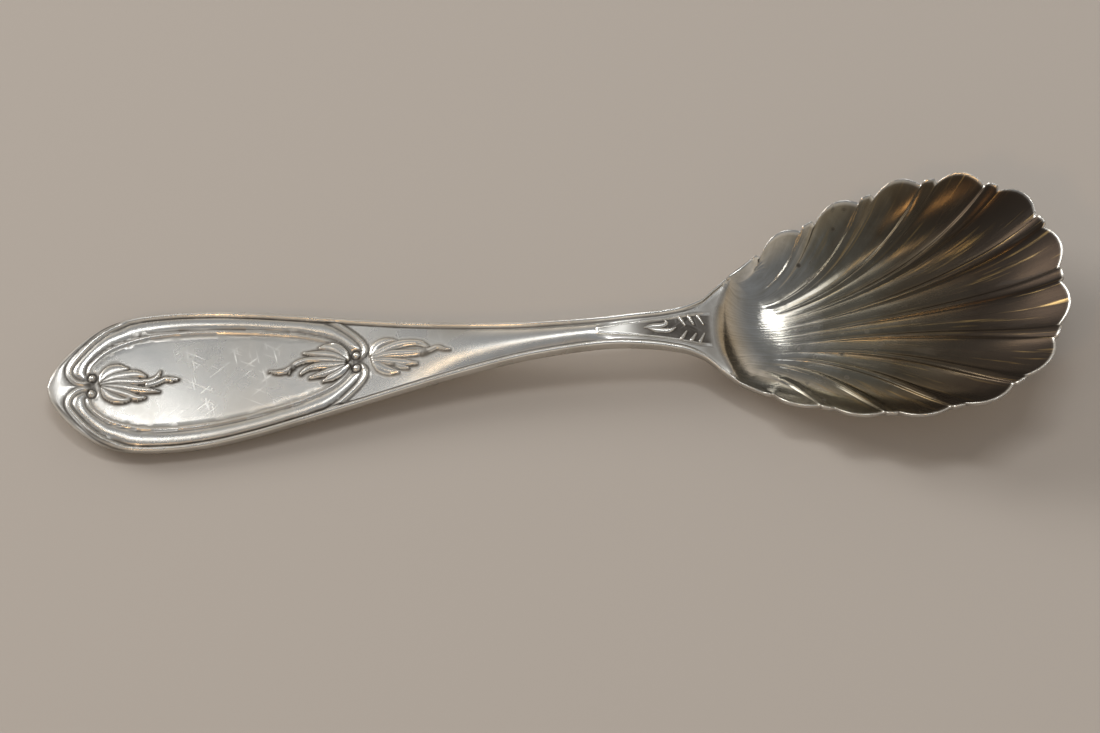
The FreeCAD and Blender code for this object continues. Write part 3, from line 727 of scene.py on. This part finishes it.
def shapeAll(points):
    # places of all corners, from their row, column and sheet, with what the finish needs to know of them
    row, column, level = points[:, 0], np.clip(points[:, 1], -1, 1), points[:, 2]
    inBowl = row > sheet["rowsHandle"]
    bowlRow = row[inBowl] - sheet["rowsHandle"]
    x, y, along = np.zeros((3, len(row)))
    x[~inBowl], y[~inBowl] = facePlan(row[~inBowl], column[~inBowl])
    x[inBowl], y[inBowl], along[inBowl] = bowlPlan(bowlRow, column[inBowl])
    rimInset = np.full(len(row), farOff)
    rimInset[inBowl] = np.where(bowlRow < firstRimRow, farOff, rimRowInset(bowlRow))

    face = x < bowl["faceEnd"]
    handleFront, patina = rimHeight(x), np.zeros(len(row))
    relief, patina[face] = faceRelief(x[face], y[face])
    handleFront[face] += relief
    floor = bowlFloor(x, y)
    press = flutePress(along, column)
    hollow = floor - bowl["fluteDepth"] * press
    # the hollow cuts into the end of the handle
    byHeel = x > bowl["openAt"] - bowl["heelRoom"]
    past = easeIn(x - openLine(y), 0.0, bowl["openBlend"])
    joined = softMin(handleFront, hollow, bowl["joinSoft"])
    joined = joined + (hollow - joined) * past
    front = np.where(inBowl & ~face, hollow, np.where(byHeel, joined, handleFront))
    shown = np.maximum(easeIn(handleFront - hollow, *bowl["joinShown"]), past)
    hollowed = np.where(inBowl & ~face, 1.0, np.where(byHeel, shown, 0.0))

    # the back keeps the wall's thickness, square to the slope
    nudge = 0.02 + 0.4 * (1 - easeIn(along, 0.1, 0.4))
    steepX = (bowlFloor(x + nudge, y) - bowlFloor(x - nudge, y)) / (2 * nudge)
    steepY = (bowlFloor(x, y + nudge) - bowlFloor(x, y - nudge)) / (2 * nudge)
    slope = np.minimum(np.hypot(steepX, steepY), bowl["steepest"])
    wall = bowl["wall"] * np.sqrt(1 + slope ** 2)
    outer = floor - wall - bowl["wallSpare"] - bowl["backFlute"] * press
    backHandle = handleBack(x, y)
    blend = easeIn(x, *bowl["backBlend"])
    met = softMin(backHandle, outer, bowl["backSoft"]) * (1 - blend) + outer * blend
    back = np.where(x > bowl["backFrom"], met, backHandle)

    # rounded edges
    r = bowl["edgeRound"]
    toEdge = outlineInset(x, y, rimInset)
    fall = r - np.sqrt(np.clip(r * r - np.clip(r - toEdge, 0, r) ** 2, 0, None))
    bowlEdge = easeIn(x, *bowl["edgeRun"])
    front = front - fall * bowlEdge
    back = np.minimum(back + fall * (0.6 + 0.4 * bowlEdge), front - bowl["leastThick"])
    under = np.clip(-level, 0, 1)
    z = front + (back - front) * under
    atEdge = 1 - easeIn(toEdge, *bowl["edgeWorn"])
    marks = {
        "patina": patina * (1 - under) * (1 - hollowed),
        "bowlInside": hollowed * (1 - under),
        "underside": under,
        "wornEdge": atEdge * np.where(inBowl, 1.0, bowlEdge),
        "press": press * (1 - under),
    }
    return np.stack([x, y, z], 1), marks, np.stack([along, column, under], 1)


def refine(reach):
    # finer faces where the ornament is
    faces = len(mesh.polygons)
    middles = np.empty(faces * 3)
    mesh.polygons.foreach_get("center", middles)
    row, column, level = middles.reshape(-1, 3).T
    use = (level > -0.01) & (row < sheet["rowsHandle"] - sheet["fineRowsOff"])
    use &= np.abs(column) < sheet["fineShare"]
    x, y = facePlan(row, column)
    up = np.abs(y)
    close = np.full(faces, farOff)
    for line in (ovalLine, leftLine, rightLine):
        close = np.minimum(close, lineDistance(x, up, line)[0])
    for cx, cy in scroll["balls"]:
        close = np.minimum(close, np.hypot(x - cx, up - cy) - 0.5)
    for name in leaves["span"]:
        for centre in leaves[name][0::2]:
            close = np.minimum(close, lineDistance(x, y, smoothLine(centre, 8))[0] - 0.6)
    close = np.minimum(close, np.abs(up - panel["halves"](x)) + np.maximum(panel["start"] - x, 0))
    pickParts("FACE", use & (close < reach))
    bpy.ops.mesh.subdivide(number_cuts=1)
    bpy.ops.object.mode_set(mode="OBJECT")


for reach in sheet["fineReach"]:
    refine(reach)
shaped, marks, flow = shapeAll(readPoints(mesh))
xShift = cadBox[0][0] * 1000 - shaped[:, 0].min()
zShift = cadBox[0][2] * 1000 - shaped[:, 2].min()
placed = shaped + [xShift, 0, zShift]
mesh.vertices.foreach_set("co", (placed / 1000).ravel())
mesh.update()

# the back of the shoulder is evened out, where the columns crowd together
shoulder = {"places": [106.2, 108, 112, 116], "halves": [6.5, 8.5, 11, 12.3], "lift": 0.4, "passes": 14}
x, y = shaped[:, 0], shaped[:, 1]
crowded = (marks["underside"] > 0.99) & (x > shoulder["places"][0]) & (x < shoulder["places"][-1])
crowded &= placed[:, 2] > cadBox[0][2] * 1000 + shoulder["lift"]
crowded &= np.abs(y) < np.interp(x, shoulder["places"], shoulder["halves"])
pickParts("VERT", crowded)
bpy.ops.mesh.vertices_smooth(factor=0.5, repeat=shoulder["passes"])
bpy.ops.object.mode_set(mode="OBJECT")
print("spoon shaped: box", placed.min(0).round(2), placed.max(0).round(2))
print("shift", round(xShift, 2), round(zShift, 2))
print("triangles", sum(len(p.vertices) - 2 for p in mesh.polygons))

for name, values in marks.items():
    mesh.attributes.new(name, "FLOAT", "POINT").data.foreach_set("value", values.astype(np.float32))
flowMark = mesh.attributes.new("flow", "FLOAT_VECTOR", "POINT")
flowMark.data.foreach_set("vector", flow.astype(np.float32).ravel())
mesh.shade_smooth()


# materials

class Value:
    # one output in a node tree; sums and products of it add Math nodes
    def __init__(self, nodes, link):
        self.nodes = nodes
        self.link = link

    def math(self, kind, *others):
        return self.nodes.add("ShaderNodeMath", {"operation": kind}, dict(enumerate([self, *others])))

    def __add__(self, other):
        return self.math("ADD", other)

    def __sub__(self, other):
        return self.math("SUBTRACT", other)

    def __rsub__(self, other):
        return self.nodes.add("ShaderNodeMath", {"operation": "SUBTRACT"}, {0: other, 1: self})

    def __mul__(self, other):
        return self.math("MULTIPLY", other)

    __radd__ = __add__
    __rmul__ = __mul__

    def most(self, other):
        return self.math("MAXIMUM", other)

    def least(self, other):
        return self.math("MINIMUM", other)

    def ease(self, start, end):
        # 0 before start, 1 past end, smooth between
        settings = {"interpolation_type": "SMOOTHSTEP"}
        return self.nodes.add("ShaderNodeMapRange", settings, {
            "Value": self, "From Min": start, "From Max": end})


class Nodes:
    # a material's or world's node tree
    def __init__(self, owner):
        owner.use_nodes = True
        self.tree = owner.node_tree
        self.tree.nodes.clear()

    def add(self, kind, settings=None, inputs=None, output=0):
        node = self.tree.nodes.new(kind)
        for name, value in (settings or {}).items():
            if name == "stops":
                ramp = node.color_ramp
                while len(ramp.elements) < len(value):
                    ramp.elements.new(0.5)
                for element, (place, colour) in zip(ramp.elements, value):
                    element.position = place
                    element.color = (*colour, 1)
            else:
                setattr(node, name, value)
        for name, value in (inputs or {}).items():
            if isinstance(value, Value):
                self.tree.links.new(value.link, node.inputs[name])
            else:
                node.inputs[name].default_value = value
        return Value(self, node.outputs[output]) if node.outputs else None

    def mark(self, name):
        return self.add("ShaderNodeAttribute", {"attribute_name": name}, output=2)

    def noise(self, place, scale, detail=2.0, rough=0.5, twist=0.0):
        return self.add("ShaderNodeTexNoise", {}, {
            "Vector": place, "Scale": scale, "Detail": detail, "Roughness": rough, "Distortion": twist})

    def stretch(self, place, sizes, turn=(0, 0, 0)):
        return self.add("ShaderNodeMapping", {}, {"Vector": place, "Scale": sizes, "Rotation": turn})

    def part(self, vector, axis):
        return self.add("ShaderNodeSeparateXYZ", {}, {0: vector}, axis)

    def blend(self, share, first, second):
        first, second = ((*c, 1) if isinstance(c, tuple) else c for c in (first, second))
        return self.add("ShaderNodeMix", {"data_type": "RGBA"}, {0: share, 6: first, 7: second}, 2)


silverLook = {
    "bright": (0.80, 0.78, 0.73),
    "dull": (0.50, 0.475, 0.43),
    "mottled": (0.45, 0.42, 0.37),
    "patina": (0.045, 0.036, 0.026),
    "roughness": 0.22,
    "dullRoughness": 0.34,
    "scratch": (0.92, 0.91, 0.88),
    "scratchTurns": (0.5, 1.35, 2.5),
    "scratchStretch": (240, 3000, 240),
    "scratchedFrom": (17, 24),    # the cartouche is scratched between these, in millimetres
    "scratchedTo": (35, 42),
    "scratchedSide": (20, 42),    # squares of the distance from the middle line
    "grainStrength": 0.18,
    "grainHeight": 0.00012,
}
tarnishLook = {
    "stops": [(0.0, (0.58, 0.565, 0.53)), (0.15, (0.40, 0.38, 0.335)), (0.32, (0.215, 0.195, 0.15)),
              (0.55, (0.105, 0.083, 0.055)), (0.8, (0.05, 0.034, 0.021)), (1.0, (0.032, 0.021, 0.014))],
    "start": 105.0,
    "end": 154.0,
    "heelStainAndGlint": (0.30, 0.235, 0.145),
    "heelStainAndGlintRun": (104.3, 109.5),
    "soot": (0.018, 0.014, 0.010),
    "gold": (0.42, 0.29, 0.12),
    "film": (0.012, 0.008, 0.005, 1),
    "filmRoughness": 0.55,
    "filmShine": 0.2,
    "roughness": 0.13,
}


def wornSilver():
    look, tarnish = silverLook, tarnishLook
    material = bpy.data.materials.new("wornSilver")
    nodes = Nodes(material)
    place = nodes.add("ShaderNodeTexCoord", output=3)
    along = nodes.part(place, 0) * 1000 - xShift
    across = nodes.part(place, 1)
    flow = nodes.add("ShaderNodeAttribute", {"attribute_name": "flow"}, output=1)
    flowAlong, flowAcross = nodes.part(flow, 0), nodes.part(flow, 1)
    patina, inside = nodes.mark("patina"), nodes.mark("bowlInside")
    under, worn, press = nodes.mark("underside"), nodes.mark("wornEdge"), nodes.mark("press")

    def flowNoise(alongScale, acrossScale, layer, detail, rough, twist=0.0):
        # streaks that run with the flutes
        lanes = {0: flowAlong * alongScale, 1: flowAcross * acrossScale, 2: layer}
        return nodes.noise(nodes.add("ShaderNodeCombineXYZ", {}, lanes), 1.0, detail, rough, twist)

    # broad clouding and fine mottling
    cloud = nodes.noise(place, 55, 4, 0.6, 0.6).ease(0.36, 0.68)
    mottle = nodes.noise(place, 220, 3, 0.6, 1.2)
    # hairline scratches in three directions, seen mostly in the cartouche
    scratches = None
    for turn in look["scratchTurns"]:
        lane = nodes.stretch(nodes.stretch(place, (1, 1, 1), (0, 0, turn)), look["scratchStretch"])
        lane = nodes.noise(lane, 1.0, 0, 0.4).ease(0.70, 0.78)
        scratches = lane if scratches is None else scratches.most(lane)
    patches = nodes.noise(place, 110, 2, 0.5).ease(0.42, 0.62)
    cartouche = along.ease(*look["scratchedFrom"]) * (1 - along.ease(*look["scratchedTo"]))
    cartouche = cartouche * (1 - (across * across * 1e6).ease(*look["scratchedSide"]))
    scratches = scratches * patches * (cartouche * 0.85 + 0.15) * (1 - under) * (1 - inside)

    # plain silver, duller where the clouding lies and on the back
    dull = (cloud * 0.75 + under * 0.2).least(1.0)
    colour = nodes.blend(dull, look["bright"], look["dull"])
    colour = nodes.blend(mottle.ease(0.4, 0.75) * 0.12, colour, look["mottled"])
    # darkness: patina in the hollows, and painted shade on the nose and beside the heel
    darkness = (patina * (0.85 + mottle * 0.5)).least(1.0)
    colour = nodes.blend(darkness, colour, look["patina"])
    colour = nodes.blend(scratches * 0.45, colour, look["scratch"])

    # the bowl: silver at the heel, olive then brown towards the tip
    streak = flowNoise(1.6, 30, 0.0, 5, 0.62, 0.15)
    thin = flowNoise(3.2, 95, 2.0, 3, 0.6)
    blotch = nodes.noise(place, 130, 5, 0.65, 0.8)
    reach = (along - tarnish["start"]) * (1 / (tarnish["end"] - tarnish["start"]))
    tone = reach + (streak - 0.5) * 0.34 + (blotch - 0.5) * 0.3
    stain = nodes.add("ShaderNodeValToRGB", {"stops": tarnish["stops"]}, {0: tone})
    goldMask = (thin.ease(0.56, 0.7) * reach.ease(0.1, 0.4)).least(1.0)
    stain = nodes.blend(goldMask * 0.5, stain, tarnish["gold"])
    soot = flowNoise(5.0, 42, 5.0, 5, 0.7, 0.4)
    sootMask = soot.ease(0.56, 0.72) * reach.ease(0.08, 0.3) * (1 - press.ease(0.5, 1.0) * 0.6)
    stain = nodes.blend((sootMask * 0.75).least(1.0), stain, tarnish["soot"])
    # brown stain on the heel wall, with a painted warm glint in it
    heelStainAndGlintMask = (1 - along.ease(*tarnish["heelStainAndGlintRun"])) * (0.35 + blotch)
    stain = nodes.blend(heelStainAndGlintMask.least(1.0) * 0.8, stain, tarnish["heelStainAndGlint"])
    # small dark spots, and a rim worn bright
    spotAway = nodes.add("ShaderNodeTexVoronoi", {}, {"Vector": place, "Scale": 360, "Randomness": 1.0})
    spotChance = nodes.noise(place, 75, 1, 0.5).ease(0.5, 0.6)
    spots = (1 - spotAway.ease(0.06, 0.2)) * spotChance * reach.ease(0.02, 0.15)
    stain = nodes.blend((spots * 0.85).least(1.0), stain, tarnish["soot"])
    stain = nodes.blend(worn * 0.75, stain, look["bright"])
    colour = nodes.blend(inside, colour, stain)

    plainRough = look["roughness"] + dull * (look["dullRoughness"] - look["roughness"]) + darkness * 0.22
    plainRough = plainRough + scratches * 0.12 + (mottle - 0.5) * 0.06
    bowlRough = tarnish["roughness"] + reach.ease(0.0, 0.9) * 0.12 + streak.ease(0.4, 0.75) * 0.12
    bowlRough = bowlRough + sootMask * 0.25 + spots * 0.25
    rough = plainRough * (1 - inside) + bowlRough * inside
    metal = 1 - (darkness * 0.8) * (1 - inside) - inside * (sootMask * 0.6).most(spots * 0.7)
    grain = mottle * 0.2 + scratches * -0.35 + streak * inside * 0.8
    bump = nodes.add("ShaderNodeBump", {}, {
        "Strength": look["grainStrength"], "Distance": look["grainHeight"], "Height": grain})
    silver = nodes.add("ShaderNodeBsdfPrincipled", {}, {
        "Base Color": colour, "Metallic": metal, "Roughness": rough, "Normal": bump})
    # thick tarnish towards the tip is dull and shines less
    film = nodes.add("ShaderNodeBsdfPrincipled", {}, {
        "Base Color": tarnish["film"], "Metallic": 0.0, "Roughness": tarnish["filmRoughness"],
        "Specular IOR Level": tarnish["filmShine"]})
    filmMask = inside * reach.ease(0.35, 0.95) * 0.6 * (1 - goldMask) * (1 - worn)
    shader = nodes.add("ShaderNodeMixShader", {}, {0: filmMask, 1: silver, 2: film})
    nodes.add("ShaderNodeOutputMaterial", {}, {"Surface": shader})
    return material


mesh.materials.clear()
mesh.materials.append(wornSilver())
print("silver ready")

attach(spoon, "root")
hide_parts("spoon")


# floor, light and camera

floorLook = {"size": 3.0, "colour": (0.46, 0.415, 0.37, 1), "roughness": 0.9}
deselectAll()
bpy.ops.mesh.primitive_plane_add(size=floorLook["size"], location=(0, 0, 0))
floor = bpy.context.object
floor.name = "floor"
floorMaterial = bpy.data.materials.new("paleFloor")
nodes = Nodes(floorMaterial)
shader = nodes.add("ShaderNodeBsdfPrincipled", {}, {
    "Base Color": floorLook["colour"], "Roughness": floorLook["roughness"]})
nodes.add("ShaderNodeOutputMaterial", {}, {"Surface": shader})
floor.data.materials.append(floorMaterial)

# a dim ceiling over a lighter room
roomLook = {
    "ceiling": (0.27, 0.28, 0.295),
    "walls": (0.84, 0.75, 0.64),
    "turn": (0.1, 0.75),
    "strength": 1.0,
}
world = bpy.data.worlds.new("room")
bpy.context.scene.world = world
nodes = Nodes(world)
direction = nodes.add("ShaderNodeTexCoord", output=0)
height = nodes.part(direction, 2)
colour = nodes.blend(height.ease(*roomLook["turn"]), roomLook["walls"], roomLook["ceiling"])
background = nodes.add("ShaderNodeBackground", {}, {"Color": colour, "Strength": roomLook["strength"]})
nodes.add("ShaderNodeOutputWorld", {}, {"Surface": background})

lampLook = {
    "window": {
        "place": (0.18, 0.36, 1.10), "aim": (0.03, 0, 0), "size": (0.5, 0.13), "power": 2.6,
        "colour": (0.96, 0.98, 1)},
    "sky": {
        "place": (-0.15, 0.36, 1.14), "aim": (-0.03, 0, 0), "size": (0.26, 0.26), "power": 0.55,
        "colour": (1, 1, 1)},
    "key": {
        "place": (-1.35, 0.95, 0.80), "aim": (0, 0, 0), "size": (0.8, 0.8), "power": 19.0,
        "colour": (1, 0.99, 0.97)},
    "warm": {
        "place": (-0.42, -0.62, 0.80), "aim": (0.03, 0, 0), "size": (0.14, 0.14), "power": 0.85,
        "colour": (1, 0.62, 0.28)},
    "warmTop": {
        "place": (-0.40, 0.20, 1.02), "aim": (0.03, 0, 0), "size": (0.13, 0.13), "power": 0.2,
        "colour": (1, 0.76, 0.5)},
}
for name, look in lampLook.items():
    data = bpy.data.lights.new(name, "AREA")
    data.shape = "RECTANGLE"
    data.size, data.size_y = look["size"]
    data.energy = look["power"]
    data.color = look["colour"]
    lamp = bpy.data.objects.new(name, data)
    bpy.context.collection.objects.link(lamp)
    lamp.location = look["place"]
    towards = Vector(look["aim"]) - Vector(look["place"])
    lamp.rotation_euler = towards.to_track_quat("-Z", "Y").to_euler()

# the camera stands where the photograph was taken from, in the part's millimetres
view = {
    "tilt": 62.67,
    "turn": 5.72,
    "roll": -9.74,
    "away": 413.3,
    "slide": (-0.63, 4.21),
    "aim": (77.5, 0, 6.0),
    "lens": 88.95,
    "sensor": 36,
}
tilt, turnAngle, roll = (math.radians(view[k]) for k in ("tilt", "turn", "roll"))
back = Vector((math.sin(turnAngle) * math.cos(tilt), -math.cos(turnAngle) * math.cos(tilt), math.sin(tilt)))
right = Vector((math.cos(turnAngle), math.sin(turnAngle), 0))
up = back.cross(right)
rightRolled = math.cos(roll) * right + math.sin(roll) * up
upRolled = -math.sin(roll) * right + math.cos(roll) * up
place = Vector(view["aim"]) - rightRolled * view["slide"][0] - upRolled * view["slide"][1]
place += back * view["away"]
place += Vector((xShift, 0, zShift))
camera = bpy.data.objects.new("camera", bpy.data.cameras.new("camera"))
bpy.context.collection.objects.link(camera)
turned = Matrix((rightRolled, upRolled, back)).transposed().to_4x4()
camera.matrix_world = Matrix.Translation(place / 1000) @ turned
camera.data.sensor_width = view["sensor"]
camera.data.lens = view["lens"]
camera.data.clip_start = 0.01
bpy.context.scene.camera = camera
bpy.context.scene.view_settings.view_transform = "Standard"

print("scene ready")
